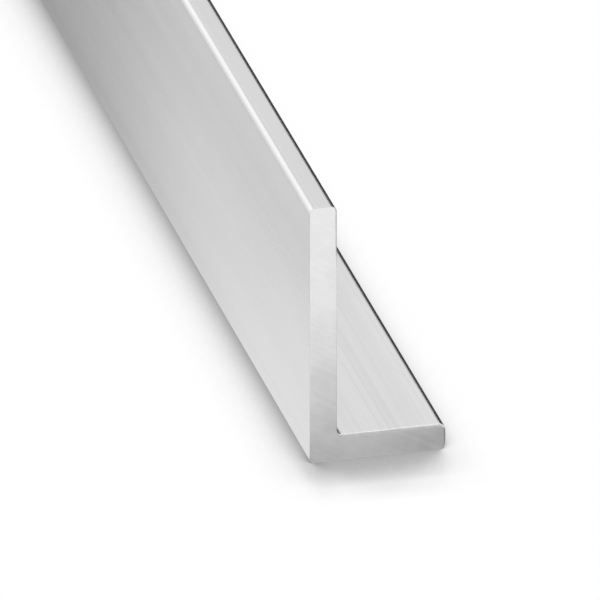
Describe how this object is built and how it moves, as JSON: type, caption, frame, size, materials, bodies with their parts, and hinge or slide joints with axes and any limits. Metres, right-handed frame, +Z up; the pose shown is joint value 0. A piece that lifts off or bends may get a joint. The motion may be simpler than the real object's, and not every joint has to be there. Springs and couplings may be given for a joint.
{
  "type": "unequal aluminium angle",
  "caption": "Straight unequal-leg angle bar of extruded aluminium, square cut at both ends, for edging, framing and brackets.",
  "frame": {"origin": "under the middle of the bar's length and of the short leg's width, on the surface that the short leg lies on", "axes": "+Y along the bar, +Z up the tall leg, +X from the heel towards the tip of the short leg"},
  "size_m": [0.01, 1, 0.02],
  "materials": {
    "mill_aluminium": "satin mill finish with fine lengthwise die lines, sawn and deburred ends"
  },
  "bodies": {
    "root": {"angle_bar": "mill_aluminium"}
  },
  "joints": []
}
